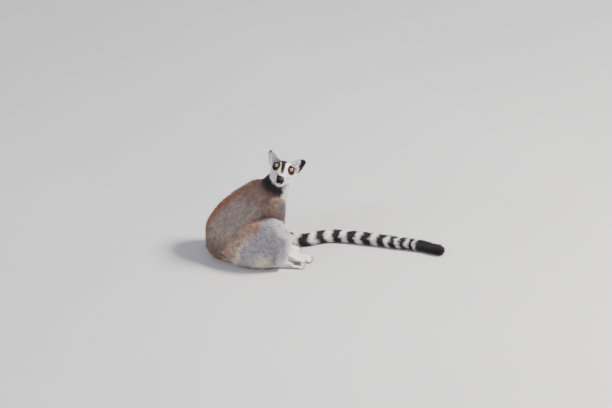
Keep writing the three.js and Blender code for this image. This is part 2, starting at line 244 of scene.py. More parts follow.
def joined_solids():
    """Least distance to the solids of flesh, and all their triangles with the node of each."""
    low = np.floor(np.array(CAD_BOX[0]) / VOXEL).astype(int) - 6
    high = np.ceil(np.array(CAD_BOX[1]) / VOXEL).astype(int) + 6
    band = 3 * VOXEL
    distance = np.full(high - low + 1, band, np.float32)
    thin = np.full(high - low + 1, band, np.float32)
    points_all, triangles_all, node_of, start = [], [], [], 0
    for index, name in enumerate(FLESH + EYES):
        points, triangles = welded(*triangles_of(NODES[name].data))
        points_all.append(points)
        triangles_all.append(triangles + start)
        node_of.append(np.full(len(triangles), index if name in FLESH else FLESH.index("head")))
        start += len(points)
        if name == "nose":
            continue
        first = np.floor(points.min(axis=0) / VOXEL).astype(int) - 4
        last = np.ceil(points.max(axis=0) / VOXEL).astype(int) + 4
        part = np.empty(last - first + 1, np.float32)
        level_set(points, triangles, 3.0).copyToArray(part, ijk=tuple(int(c) for c in first))
        here = tuple(slice(f, l) for f, l in zip(first - low, last - low + 1))
        np.minimum(distance[here], part, out=distance[here])
        if kind_of(name) in THIN_COAT:
            np.minimum(thin[here], part + THIN_COAT[kind_of(name)] * MM, out=thin[here])
        if kind_of(name) == "ear":
            begin, stop = np.maximum(first - 8, low), np.minimum(last + 9, high + 1)
            wide = tuple(slice(f, l) for f, l in zip(begin - low, stop - low))
            root = ear_root(1 if name.endswith("left") else -1, begin, stop - begin)
            np.minimum(thin[wide], root, out=thin[wide])
    mesh = (np.concatenate(points_all), np.concatenate(triangles_all))
    return distance, thin, low, mesh, np.concatenate(node_of)


def blurred(block, rounds):
    for _ in range(rounds):
        for axis in range(3):
            ends = np.concatenate([block.take([0], axis), block, block.take([-1], axis)], axis)
            count = block.shape[axis]
            before, after = ends.take(range(0, count), axis), ends.take(range(2, count + 2), axis)
            block = (before + 2 * block + after) / 4
    return block


def depth_field(points, depths, low, shape):
    """Depth of the coat on the voxels, carried from the surface to the space near it."""
    pitch = 4 * VOXEL
    corner = np.floor(low * VOXEL / pitch).astype(int) - 1
    size = np.ceil(np.array(shape) * VOXEL / pitch).astype(int) + 4
    cell = np.round(points / pitch).astype(int) - corner
    flat = np.ravel_multi_index(cell.T, size)
    total = np.bincount(flat, depths, int(np.prod(size))).reshape(size)
    count = np.bincount(flat, minlength=int(np.prod(size))).astype(float).reshape(size)
    total, count = blurred(total, 2), blurred(count, 2)
    wide_total, wide_count = blurred(total, 8), blurred(count, 8)
    result = (total + 0.01 * wide_total) / (count + 0.01 * wide_count + 1e-9)
    for axis in range(3):
        place = (np.arange(shape[axis]) + low[axis]) * VOXEL / pitch - corner[axis]
        below = np.clip(np.floor(place).astype(int), 0, size[axis] - 2)
        part = (place - below).reshape([-1 if a == axis else 1 for a in range(3)])
        result = result.take(below, axis) * (1 - part) + result.take(below + 1, axis) * part
    return result.astype(np.float32)


def nearest_nodes(points, tree, node_of):
    return node_of[np.array([tree.find_nearest(p)[2] for p in points.tolist()])]


def coat_depth_at(points, nodes):
    """Depth of the coat in metres at points on the outside, by the node and the place on the head."""
    kinds = np.array([kind_of(name) for name in FLESH])[nodes]
    depths = np.array([COAT_DEPTH[kind] for kind in kinds])
    forward = in_head(points)[:, 0]
    on_head = kinds == "head"
    depths[on_head] = np.interp(forward[on_head], [-60, -35, -10, 5, 30], [8.0, 4.5, 2.8, 1.8, 1.2])
    return depths * MM


def build_skin():
    """Surface that lies inside the solids by the coat's depth, and what it was made from."""
    distance, thin, low, (points, triangles), node_of = joined_solids()
    outer, outer_faces = largest_piece(*surface(distance, low, OUTSIDE))
    tree = BVHTree.FromPolygons(points.tolist(), triangles.tolist())
    outer_node = nearest_nodes(outer, tree, node_of)
    depths = spread(coat_depth_at(outer, outer_node), edges_of(outer_faces), 0.5, 12)[:, 0]
    whole = np.full(distance.shape, 0, np.float32)
    level_set(outer, outer_faces, 11.0).copyToArray(whole, ijk=tuple(int(c) for c in low))
    field = np.minimum(whole + depth_field(outer, depths, low, whole.shape), thin)
    skin, faces = largest_piece(*surface(field, low, 0.0))
    return skin, faces, whole, low, (outer, outer_faces, outer_node)


# ---------------------------------------------------------------- smooth variation without images
def waves(points, size_mm, seed):
    """Smooth random values of about -1 to 1 that change over the given size."""
    turn = np.random.default_rng(seed)
    total = np.zeros(len(points))
    for _ in range(7):
        direction = unit(turn.normal(size=3))
        frequency = turn.uniform(0.6, 1.5) * 2 * math.pi / (size_mm * MM)
        total += np.sin(points @ direction * frequency + turn.uniform(0, 2 * math.pi))
    return total / 2.6


def ramp(value, low, high):
    part = np.clip((value - low) / (high - low), 0, 1)
    return part * part * (3 - 2 * part)


def mix(a, b, part):
    part = np.asarray(part)[..., None]
    return a * (1 - part) + b * part


def colour(red, green, blue):
    """Linear colour from display values of 0 to 255."""
    value = np.array([red, green, blue]) / 255
    return np.where(value <= 0.04045, value / 12.92, ((value + 0.055) / 1.055) ** 2.4)


# ---------------------------------------------------------------- the tail's line
def smooth_line(corners, steps=12):
    corners = np.asarray(corners, float)
    padded = np.concatenate([[2 * corners[0] - corners[1]], corners, [2 * corners[-1] - corners[-2]]])
    line = []
    for a, b, c, d in zip(padded, padded[1:], padded[2:], padded[3:]):
        for step in range(steps):
            t = step / steps
            line.append(0.5 * (2 * b + (c - a) * t + (2 * a - 5 * b + 4 * c - d) * t * t
                               + (3 * b - a - 3 * c + d) * t ** 3))
    line.append(corners[-1])
    return np.array(line)


def along_line(points, line):
    """Nearest place on a line: its length from the start, its direction and the offset from it."""
    best = np.full(len(points), np.inf)
    length = np.zeros(len(points))
    direction = np.zeros((len(points), 3))
    offset = np.zeros((len(points), 3))
    start = 0.0
    for a, b in zip(line, line[1:]):
        step = b - a
        size = np.linalg.norm(step)
        part = np.clip((points - a) @ step / size ** 2, 0, 1)
        away = points - a - part[:, None] * step
        far = np.linalg.norm(away, axis=1)
        near = far < best
        best[near] = far[near]
        length[near] = start + part[near] * size
        direction[near] = step / size
        offset[near] = away[near]
        start += size
    return length, direction, offset


TAIL = MM * smooth_line([
    (-22, 29, 40), (-8, 75, 17), (44, 93, 15), (103, 79, 15), (148, 54, 15), (186, 48, 15),
    (224, 60, 15), (263, 67, 15), (334, 54, 15), (403, 37, 15), (465, 22, 14.5), (510, 3, 13.5),
])
TAIL_STEPS = np.concatenate([[0], np.cumsum(np.linalg.norm(np.diff(TAIL, axis=0), axis=1))])
# Middles of the dark rings and of the pale rings after them, along X in millimetres.
DARK_RINGS = [177, 214, 255.5, 295, 329, 367, 394, 417.5, 437.5]
PALE_RINGS = [197, 236, 276, 311.5, 348.5, 381, 406, 428, 446]
# Length of each dark and pale pair under the body, and X where the dark tip starts.
HIDDEN_PAIR = 41
HIDDEN_PAIRS = 5
TIP_DARK_FROM = 454
TIP_PHASE = len(DARK_RINGS)
# Way across the tail from the ridge of its rings' chevrons.
TAIL_ASIDE = (0, 0.5, 0.866)
# Step of the tail's line from which X only grows.
TAIL_OUTWARD = 30


def ring_phase(length):
    """Whole numbers in the middle of the dark rings, halves in the middle of the pale ones."""
    middles = [x for pair in zip(DARK_RINGS, PALE_RINGS) for x in pair] + [TIP_DARK_FROM]
    known = np.interp(middles, TAIL[TAIL_OUTWARD:, 0] / MM, TAIL_STEPS[TAIL_OUTWARD:] / MM)
    known[-1] += 3
    hidden = [known[0] - HIDDEN_PAIR * k for k in range(HIDDEN_PAIRS, 0, -1)]
    phases = [*range(-HIDDEN_PAIRS, 0), *(0.5 * k for k in range(len(middles) - 1)), TIP_PHASE]
    return np.interp(length / MM, [*hidden, *known], phases)


# ---------------------------------------------------------------- markings, shared by skin and coat
WHITE = colour(238, 235, 232)
MUZZLE_WHITE = colour(206, 200, 202)
PAW_WHITE = colour(240, 236, 231)
BLACK = colour(26, 23, 25)
CROWN = colour(40, 36, 38)
PEAK_BLACK = colour(17, 15, 17)
PEAK_BROWN = colour(90, 71, 63)
MUZZLE_BLACK = colour(34, 29, 31)
EAR_LILAC = colour(232, 225, 240)
# Bare lilac skin of the ear's hollow, darkened with painted shade.
EAR_BARE_SKIN_AND_HOLLOW_SHADE = colour(168, 152, 166)
EAR_TIP = colour(34, 31, 42)
NECK = colour(66, 60, 63)
# The neck's darker fur near the head, with painted shade under the chin.
NECK_DARK_AND_CHIN_SHADE = colour(36, 32, 36)
BACK = colour(146, 112, 88)
RUFOUS = colour(158, 104, 66)
RUST = colour(176, 112, 76)
RUMP = colour(112, 92, 82)
FLANK = colour(156, 142, 134)
SHOULDER = colour(138, 112, 100)
SLATE = colour(96, 94, 108)
LIMB = colour(184, 179, 186)
CREAM = colour(234, 224, 206)
HEEL_CREAM = colour(242, 230, 200)
# Painted shade for the fold between the heel and the shank.
CREASE_SHADE = colour(84, 76, 76)
TAN = colour(190, 164, 144)
LINE_DARK = colour(30, 24, 25)
RING_WHITE = colour(226, 223, 222)
RING_BLACK = colour(28, 26, 29)

EYE_PLACE = np.array([-5.4, 17.3, 0.0])


def head_colours(points):
    f, l, u = in_head(points).T
    side = np.abs(l)
    edge = waves(points, 6, 11)
    # Dark cap behind the brows and ahead of the nape.
    border = np.interp(side, [0, 8, 18, 30], [-18, -26, -32, -38]) + edge
    result = mix(WHITE, CROWN, ramp(border - f, -1.5, 3.0) * ramp(u + 0.25 * side, -5, 4))
    result = mix(result, NECK, ramp(-f, 36, 50) * ramp(u + 0.9 * side, -34, -8))
    result = mix(result, MUZZLE_WHITE, 0.5 * ramp(f, 6, 14) * ramp(u, -30, -22))
    # Peak of the cap that runs down the bridge between the eyes and ends brown.
    half = np.interp(f, [-26, -14, -4, 8, 27], [13, 8.0, 4.8, 4.3, 3.2]) + 0.3 * edge
    lean = np.interp(f, [-26, -14, 0, 14, 24], [-4.5, -4.2, -3.0, -1.4, -0.6])
    peak = ramp(half - np.abs(l - lean), -0.9, 0.9) * ramp(29 - f, 0, 4) * ramp(u, -18, -13)
    result = mix(result, mix(PEAK_BLACK, PEAK_BROWN, ramp(f, 15, 24)), peak)
    # Dark patch round each eye, drawn out towards the muzzle.
    across = (side - 16.8) / np.where(side > 16.8, 9.4, 8.4)
    height = (u + 0.6) / np.where(u > -0.6, 9.2, 11.4)
    drawn = across + 0.25 * height * (height < 0)
    patch = np.sqrt(drawn ** 2 + height ** 2) + 0.05 * waves(points, 5, 12)
    result = mix(result, BLACK, ramp(1.05 - patch, -0.07, 0.1) * ramp(f, -24, -16))
    # Dark end of the muzzle above the mouth, and dark lips.
    muzzle = ramp(f + 0.5 * edge, 25.5, 28.5) * ramp(u, -32, -30.5)
    muzzle *= ramp(-u - 0.55 * l, 16, 19) * ramp(10 - side, 0, 2)
    lips = near_mouth(in_head(points), 2.9)[0] * ramp(12 - side, 0, 6)
    return mix(result, MUZZLE_BLACK, np.maximum(muzzle, np.minimum(1, 1.3 * lips)))


def trunk_colours(points, normals):
    f, _, u = in_body(points).T
    low = ramp(-u, -104, -52) * ramp(-f, -50, 10)
    side = np.abs(normals @ BODY_LEFT)
    flank = ramp(side, 0.4, 0.85)
    rufous = 0.35 + 0.5 * ramp(waves(points, 60, 21), -0.6, 0.9)
    result = mix(BACK, RUFOUS, rufous * (1 - flank))
    result = mix(result, FLANK, flank * (1 - 0.5 * low))
    result = mix(result, RUMP, 0.85 * low)
    result = mix(result, SHOULDER, ramp(u, 168, 200) * 0.7)
    rust = np.exp(-(((f - 78) / 13) ** 2 + ((u - 121) / 9) ** 2)) * ramp(side, 0.2, 0.6)
    result = mix(result, RUST, 0.7 * rust)
    belly = normals @ unit(0.9 * BODY_FORWARD - 0.35 * UP)
    return mix(result, CREAM, ramp(belly, 0.2, 0.6))


def neck_colours(points, normals):
    # Darker towards the head: the neck's own dark fur, and painted shade under the chin.
    dark_and_chin_shade = ramp(60 - np.linalg.norm(in_head(points) + (38, 0, 20), axis=1), 0, 34)
    result = mix(NECK, NECK_DARK_AND_CHIN_SHADE, dark_and_chin_shade)
    f, _, u = in_body(points).T
    result = mix(result, SHOULDER, 0.85 * ramp(-u - 0.4 * (f - 118), -223, -206))
    front = normals @ unit(BODY_FORWARD + 0.12 * HEAD_FORWARD - 0.1 * UP)
    return mix(result, WHITE, ramp(front + 0.06 * waves(points, 14, 17), 0.62, 0.82))


def by_heel(points):
    """1 where the long pale hair of the thigh hangs over the heel, 0 away from it."""
    f, _, u = in_body(points).T
    return np.minimum(1, 1.4 * np.exp(-(((f - 93) / 22) ** 2 + ((u - 27) / 20) ** 2)))


def painted_crease_shade(points):
    """1 where shade is painted in the fold between the heel and the shank, 0 away from it."""
    f, _, u = in_body(points).T
    return np.exp(-((f - 130) / 9) ** 2) * ramp(74 - u, 0, 22)


def thigh_colours(points, normals):
    """Grey, with a tawny, then cream band where the thigh meets the flank and the rump."""
    f, _, u = in_body(points).T
    border = f - np.interp(u, [0, 60, 120], [-18, 0, 48]) + 4 * waves(points, 26, 23)
    base = mix(TAN, RUST, 0.35 * ramp(u, 106, 122))
    base = mix(base, mix(FLANK, RUMP, 0.45), ramp(14 - border, 0, 22))
    base = mix(base, CREAM, 0.75 * np.exp(-((border - 38) / 9) ** 2) * ramp(100 - u, -20, 30))
    base = mix(base, LIMB, ramp(border, 38, 56))
    base = mix(base, HEEL_CREAM, 0.95 * by_heel(points))
    # Painted shade in the fold between the heel and the shank.
    base = mix(base, CREASE_SHADE, 0.7 * painted_crease_shade(points))
    return mix(base, CREAM, 0.6 * ramp(-normals @ UP, 0.4, 0.9))


def limb_colours(points, normals, kind):
    _, l, u = in_body(points).T
    if kind == "upper_arm":
        base = mix(SHOULDER, LIMB, ramp(-u, -140, -105) * 0.5)
        base = mix(base, SLATE, 0.75 * ramp(normals @ BODY_FORWARD, 0.35, 0.8) * ramp(u, 110, 150))
    elif kind == "forearm":
        base = mix(LIMB, PAW_WHITE, ramp(-u, -62, -34))
    elif kind == "shank":
        base = mix(LIMB, PAW_WHITE, ramp(-u, -60, -26))
        # Whiter on the forward side, where the sun falls on the shank: painted light.
        front = normals @ unit(BODY_FORWARD + 0.15 * UP)
        base = mix(base, PAW_WHITE, 0.5 * ramp(front, 0.3, 0.9))
        # Painted shade in the fold between the heel and the shank.
        base = mix(base, CREASE_SHADE, 0.7 * painted_crease_shade(points) * (l < 0))
    else:
        base = thigh_colours(points, normals)
    inward = -np.sign(l) * (normals @ BODY_LEFT)
    return mix(base, CREAM, 0.75 * ramp(inward, 0.25, 0.75))


def paw_colours(points, kind):
    heel = np.exp(-((in_body(points)[:, 0] - 94) / 14) ** 2)
    return mix(PAW_WHITE, CREAM, heel * (kind == "foot"))


def tail_colours(points):
    length, _, offset = along_line(points, TAIL)
    aside = np.abs(offset @ unit(TAIL_ASIDE))
    chevron = aside * 1.1 - 5.2 * MM
    phase = ring_phase(length - chevron + 0.9 * MM * waves(points, 9, 31))
    least = np.interp(length / MM, [300, 470], [-0.5, -0.75])
    dark = ramp(np.cos(2 * math.pi * phase), least, least + 0.5)
    dark = np.where(phase > TIP_PHASE - 0.07, 1.0, dark)
    result = mix(RING_WHITE, RING_BLACK, dark)
    return mix(result, mix(FLANK, RUMP, 0.4), ramp(-length, -62 * MM, -30 * MM))


def ear_colours(points, normals):
    f, l, u = in_head(points).T
    open_way = normals @ HEAD_FORWARD + 0.5 * np.sign(l) * (normals @ HEAD_LEFT)
    reach = 0.56 * (np.abs(l) - 24) + 0.72 * (u + 5) - 0.4 * (f + 33)
    base = mix(WHITE, EAR_LILAC, 0.7 * ramp(reach, 2, 12))
    # Darker in the ear's hollow: its bare lilac skin, with painted shade in the hollow.
    bare = ramp(open_way, 0.4, 0.9) * np.exp(-((reach - 10) / 7) ** 2)
    base = mix(base, EAR_BARE_SKIN_AND_HOLLOW_SHADE, 0.3 * bare)
    outer = l - 29.0 + 0.15 * (reach - 20) + 0.8 * waves(points, 6, 19)
    outer = np.where(l > 0, outer, reach - 29 + 0.5 * waves(points, 6, 19))
    return mix(base, EAR_TIP, ramp(outer, -1.0, 1.5))


def kind_colours(kind, points, normals):
    if kind in ("head", "lower_jaw", "nose"):
        return head_colours(points)
    if kind == "ear":
        return ear_colours(points, normals)
    if kind == "neck":
        return neck_colours(points, normals)
    if kind in ("rump", "belly", "chest"):
        return trunk_colours(points, normals)
    if kind == "tail":
        return tail_colours(points)
    if kind in ("foot", "hand"):
        return paw_colours(points, kind)
    return limb_colours(points, normals, kind)


def markings(points, normals, weights):
    """Colour of the coat at a place: each part's own colours, mixed by how much it is of that part."""
    result = np.zeros((len(points), 3))
    for kind in sorted({kind_of(name) for name in FLESH}):
        share = share_of(weights, kind)
        here = share > 0.004
        if here.any():
            result[here] += share[here, None] * kind_colours(kind, points[here], normals[here])
    return result / weights.sum(axis=1, keepdims=True)


# ---------------------------------------------------------------- the lie of the coat
# Joints of the limbs in the body's frame: forward, left and up, in millimetres.
JOINTS = {
    "right": {
        "hip": (6, -33, 44), "knee": (137, -47, 121), "ankle": (139, -30, 24),
        "heel": (105, -24, 12.5), "toes": (181, 4, 7), "shoulder": (120, -30, 187),
        "elbow": (126, -10, 110), "wrist": (141, -10, 40), "fingers": (172, 0, 24),
    },
    "left": {
        "hip": (6, 33, 46), "knee": (78, 36, 126), "ankle": (140, 22, 24),
        "heel": (112, 20, 12.5), "toes": (180, 34, 7), "shoulder": (100, 30, 180),
        "elbow": (92, 76, 108), "wrist": (104, 70, 24), "fingers": (134, 68, 7),
    },
}
TRUNK_LINE = [
    from_head(-38, 0, -14), from_head(-54, 0, -24), from_body(121, 1, 215), from_body(107, 0, 191),
    from_body(75, 0, 168), from_body(43, 0, 136), from_body(18, 0, 102), from_body(-1, 0, 68),
    from_body(-14, 0, 30),
]
LIMB_ENDS = {
    "thigh": ("hip", "knee"), "shank": ("knee", "ankle"), "upper_arm": ("shoulder", "elbow"),
    "forearm": ("elbow", "wrist"), "foot": ("heel", "toes"), "hand": ("wrist", "fingers"),
}


def flow_of(name, points):
    """Direction that the hair points in over one node, before it is laid on the skin."""
    kind = kind_of(name)
    side = "left" if name.endswith("left") else "right"
    if kind in ("head", "lower_jaw", "nose"):
        away = unit(points - from_head(38, 0, -22))
        return unit(away - 0.55 * HEAD_FORWARD - 0.12 * UP)
    if kind == "ear":
        hand = 1 if side == "left" else -1
        axis = -0.4 * HEAD_FORWARD + 0.56 * hand * HEAD_LEFT + 0.72 * HEAD_UP
        return np.tile(unit(axis), (len(points), 1))
    if kind in ("rump", "belly", "chest", "neck"):
        return unit(along_line(points, smooth_line(TRUNK_LINE, 4))[1] - 0.35 * UP)
    if kind == "tail":
        return along_line(points, TAIL)[1]
    start, end = LIMB_ENDS[kind]
    sag = 0.1 if kind in ("foot", "hand") else 0.4
    line = unit(from_body(*JOINTS[side][end]) - from_body(*JOINTS[side][start]))
    return np.tile(unit(line - sag * UP), (len(points), 1))


def on_surface(directions, normals):
    flat = directions - np.sum(directions * normals, axis=1, keepdims=True) * normals
    return unit(flat)


# ---------------------------------------------------------------- skin: places, weights, folds
def node_weights(points, triangles, nodes, rounds=10):
    weights = np.zeros((len(points), len(FLESH)))
    weights[np.arange(len(points)), nodes] = 1
    return spread(weights, edges_of(triangles), 0.5, rounds)


def share_of(weights, *kinds):
    return weights[:, [kind_of(name) in kinds for name in FLESH]].sum(axis=1)


def refined(points, triangles, chosen):
    """The mesh with the chosen corners' edges cut in half."""
    mesh = bmesh.new()
    for point in points.tolist():
        mesh.verts.new(point)
    mesh.verts.ensure_lookup_table()
    for triangle in triangles.tolist():
        mesh.faces.new([mesh.verts[i] for i in triangle])
    mesh.verts.index_update()
    mesh.edges.ensure_lookup_table()
    cut = [edge for edge in mesh.edges if all(chosen[v.index] for v in edge.verts)]
    bmesh.ops.subdivide_edges(mesh, edges=cut, cuts=1, use_grid_fill=True, smooth=0.0)
    bmesh.ops.triangulate(mesh, faces=[face for face in mesh.faces if len(face.verts) > 3])
    mesh.verts.index_update()
    new_points = np.array([v.co[:] for v in mesh.verts])
    new_triangles = np.array([[v.index for v in face.verts] for face in mesh.faces])
    mesh.free()
    return new_points, new_triangles


# Radius of the skin over the eyeball and of the pocket behind the lids, in millimetres; where the lids
# end, in degrees from the gaze and in millimetres from the eye; and how far the gaze turns out.
LID_RADIUS = 8.1
POCKET_RADIUS = 6.4
LID_REACH = 95
EYE_REGION = 16
LID_REGION = 11
GAZE_OUT = 12


def gaze_axis(hand):
    """Middle direction of the opening between the lids, in the head's frame."""
    out = math.radians(GAZE_OUT)
    return unit([math.cos(out), hand * math.sin(out), 0.04])


def from_opening(head_points, hand):
    """Degrees past the rim of the lids and from the gaze; distance and way from the eye's middle."""
    axis = gaze_axis(hand)
    away = head_points - EYE_PLACE * (1, hand, 1)
    far = np.linalg.norm(away, axis=1)
    direction = away / far[:, None]
    across = unit(np.cross([0, 0, 1], axis))
    over = np.cross(axis, across)
    angle = np.degrees(np.arccos(np.clip(direction @ axis, -1, 1)))
    turn = np.arctan2(direction @ over, direction @ across)
    limit = np.where(direction @ over > 0, 30.0, 31.5) + 4.5 * np.cos(turn) ** 4
    return angle - limit, angle, far, direction


def lay_lids(head_points, hand):
    """Corners of the skin near one eye, put over the ball as lids round an open almond."""
    centre = EYE_PLACE * (1, hand, 1)
    rim, angle, far, direction = from_opening(head_points, hand)
    near = (angle < LID_REACH) & (far < EYE_REGION)
    lid = np.maximum(far, LID_RADIUS + 0.3 * np.exp(-(rim / 6) ** 2))
    blend = ramp(angle, LID_REACH - 15, LID_REACH)
    lid = lid * (1 - blend) + far * blend
    inside = ramp(-rim, -1.5, 2.5)
    target = lid * (1 - inside) + POCKET_RADIUS * inside
    return np.where(near[:, None], centre + direction * target[:, None], head_points)


# Left half of the line of the mouth, and the cleft under the nose, in the head's frame.
MOUTH = [
    (3, 13.6, -29.5), (8, 12.6, -31.5), (18, 10.2, -32.3), (27, 7.2, -32.0), (33, 3.2, -31.3), (34.5, 0, -31),
]
CLEFT = np.array([(38.0, 0, -26.5), (36.5, 0, -29), (34.8, 0, -31)])


def near_mouth(head_points, half_width=0.9):
    """How much of the mouth's dark line, and of the cleft, is at each place."""
    right = [(f, -l, u) for f, l, u in MOUTH]
    lip, groove = (
        np.linalg.norm(along_line(head_points, line)[2], axis=1)
        for line in (smooth_line(MOUTH + right[-2::-1], 6), CLEFT)
    )
    return np.exp(-(lip / half_width) ** 2), np.exp(-(groove / 0.6) ** 2)


def shape_face(points, triangles):
    """Lids, mouth and cleft pressed into the skin, in the head's frame."""
    for hand in (1, -1):
        points = lay_lids(points, hand)
    world = EYE_LINE + points @ HEAD_AXES * MM
    normals = vertex_normals(world, triangles) @ HEAD_AXES.T
    lips, cleft = near_mouth(points)
    return points - normals * (1.1 * lips + 0.5 * cleft)[:, None]


def within(head_points, back, bottom, side):
    """Places on the face: ahead of one limit, above another, and not far out to the side."""
    f, l, u = head_points.T
    return (f > back) & (u > bottom) & (np.abs(l) < side)


def smoothed_skin(points, triangles, weights):
    slow = share_of(weights, "rump", "belly", "chest", "thigh", "neck")
    middle = share_of(weights, "shank", "upper_arm", "forearm", "tail")
    edges = edges_of(triangles)
    points = spread(points, edges, 0.5 * slow, 30)
    points = spread(points, edges, 0.5 * (slow + middle), 10)
    return spread(points, edges, 0.4, 3)


def finish_skin():
    """The smoothed skin, finer on the face, with lids and mouth, and its weights of the nodes."""
    points, triangles, whole, low, (outer, outer_faces, outer_node) = build_skin()
    shell_tree = BVHTree.FromPolygons(outer.tolist(), outer_faces.tolist())
    corner_node = outer_node[outer_faces[:, 0]]
    weights = node_weights(points, triangles, nearest_nodes(points, shell_tree, corner_node))
    points = smoothed_skin(points, triangles, weights)
    of_head = share_of(weights, "head", "lower_jaw", "nose") > 0.3
    points, triangles = refined(points, triangles, within(in_head(points), -20, -50, 40) & of_head)
    head = in_head(points)
    eye_near = np.minimum(*(np.linalg.norm(head - EYE_PLACE * (1, hand, 1), axis=1) for hand in (1, -1)))
    detail = (eye_near < 13) & (head[:, 0] > -8)
    detail |= near_mouth(head)[0] > 0.02
    points, triangles = refined(points, triangles, detail)
    face = within(in_head(points), -18, -48, 36)
    points = spread(points, edges_of(triangles), 0.5 * face, 3)
    moved = EYE_LINE + shape_face(in_head(points), triangles) @ HEAD_AXES * MM
    points = np.where(face[:, None], moved, points)
    points[:, 2] = np.maximum(points[:, 2], SKIN_OVER_FLOOR)
    weights = node_weights(points, triangles, nearest_nodes(points, shell_tree, corner_node), 8)
    return points, triangles, weights, whole, low


# ---------------------------------------------------------------- pieces from arrays


def make_mesh(name, points, faces, smooth=True):
    """Mesh of triangles or quads from arrays."""
    size = faces.shape[1]
    mesh = bpy.data.meshes.new(name)
    mesh.vertices.add(len(points))
    mesh.vertices.foreach_set("co", np.ascontiguousarray(points, np.float32).ravel())
    mesh.loops.add(faces.size)
    mesh.loops.foreach_set("vertex_index", np.ascontiguousarray(faces, np.int32).ravel())
    mesh.polygons.add(len(faces))
    mesh.polygons.foreach_set("loop_start", np.arange(0, faces.size, size, dtype=np.int32))
    mesh.polygons.foreach_set("use_smooth", np.full(len(faces), smooth))
    mesh.update()
    mesh.validate()
    return mesh


def add_piece(name, mesh, material, replaced=()):
    piece = bpy.data.objects.new(name, mesh)
    bpy.context.scene.collection.objects.link(piece)
    mesh.materials.append(material)
    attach(piece, "root")
    if replaced:
        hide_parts(*replaced)
    return piece


def set_colours(mesh, name, values):
    layer = mesh.color_attributes.new(name, "FLOAT_COLOR", "POINT")
    rgba = np.concatenate([values, np.ones((len(values), 1))], axis=1)
    layer.data.foreach_set("color", rgba.astype(np.float32).ravel())


def unwrap(piece, faces=None):
    """Corner places of an unwrap of the piece's own shape, packed into the whole square."""
    mesh = piece.data
    if "OFBake" not in mesh.uv_layers:
        mesh.uv_layers.new(name="OFBake")
    bpy.context.view_layer.objects.active = piece
    piece.select_set(True)
    chosen = np.ones(len(mesh.polygons), bool) if faces is None else faces
    mesh.polygons.foreach_set("select", chosen)
    bpy.ops.object.mode_set(mode="EDIT")
    bpy.ops.uv.smart_project(angle_limit=math.radians(66), island_margin=0.004)
    bpy.ops.object.mode_set(mode="OBJECT")
    piece.select_set(False)
    places = np.empty(len(mesh.loops) * 2, np.float32)
    mesh.uv_layers["OFBake"].data.foreach_get("uv", places)
    return places.reshape(-1, 3, 2)


# ---------------------------------------------------------------- materials
def set_inputs(node, sockets):
    """Values of a node's inputs, named with _ for each space."""
    for socket, value in sockets.items():
        node.inputs[socket.replace("_", " ")].default_value = value


class Nodes:
    """Short hand for building one material's nodes."""

    def __init__(self, name):
        self.material = bpy.data.materials.new(name)
        self.material.use_nodes = True
        self.tree = self.material.node_tree
        self.shader = self.tree.nodes["Principled BSDF"]

    def add(self, kind, **sockets):
        node = self.tree.nodes.new(kind)
        set_inputs(node, sockets)
        return node

    def finish(self, **sockets):
        set_inputs(self.shader, sockets)
        return self.material

    def link(self, source, target):
        self.tree.links.new(source, target)

    def texture(self, kind, **sockets):
        node = self.add(kind, **sockets)
        self.link(self.add("ShaderNodeTexCoord").outputs["Object"], node.inputs["Vector"])
        return node

    def noise(self, scale, detail=3.0, roughness=0.55):
        node = self.texture("ShaderNodeTexNoise", Scale=scale, Detail=detail, Roughness=roughness)
        return node.outputs["Fac"]

    def stretched(self, source, low, high):
        node = self.add("ShaderNodeMapRange", To_Min=low, To_Max=high)
        self.link(source, node.inputs["Value"])
        return node.outputs["Result"]

    def vector(self, operation, source):
        node = self.add("ShaderNodeVectorMath")
        node.operation = operation
        self.link(source, node.inputs[0])
        return node

    def shaded(self, colour_socket, *factors):
        """Colour times grey factors."""
        for factor in factors:
            node = self.vector("SCALE", colour_socket)
            self.link(factor, node.inputs["Scale"])
            colour_socket = node.outputs["Vector"]
        return colour_socket

    def attribute(self, name):
        node = self.add("ShaderNodeAttribute")
        node.attribute_name = name
        return node.outputs["Color"]

    def bump(self, height_socket, strength, distance):
        node = self.add("ShaderNodeBump", Strength=strength, Distance=distance)
        self.link(height_socket, node.inputs["Height"])
        self.link(node.outputs["Normal"], self.shader.inputs["Normal"])


def coat_material():
    nodes = Nodes("fur coat")
    patches = nodes.stretched(nodes.noise(70.0, 4.0), 0.74, 1.24)
    locks = nodes.stretched(nodes.noise(210.0, 2.0), 0.76, 1.24)
    fine = nodes.stretched(nodes.noise(420.0, 2.0), 0.86, 1.14)
    shade = nodes.shaded(nodes.attribute("coat_colour"), patches, locks, fine)
    nodes.link(shade, nodes.shader.inputs["Base Color"])
    return nodes.finish(Roughness=0.72, Specular_IOR_Level=0.25, Sheen_Weight=0.12, Sheen_Roughness=0.5)


def skin_material():
    nodes = Nodes("skin under the coat")
    patches = nodes.stretched(nodes.noise(110.0, 5.0), 0.72, 1.1)
    shade = nodes.shaded(nodes.attribute("skin_colour"), patches)
    nodes.link(shade, nodes.shader.inputs["Base Color"])
    nodes.bump(nodes.noise(900.0, 3.0), 0.5, 0.6 * MM)
    return nodes.finish(Roughness=0.78, Specular_IOR_Level=0.25)


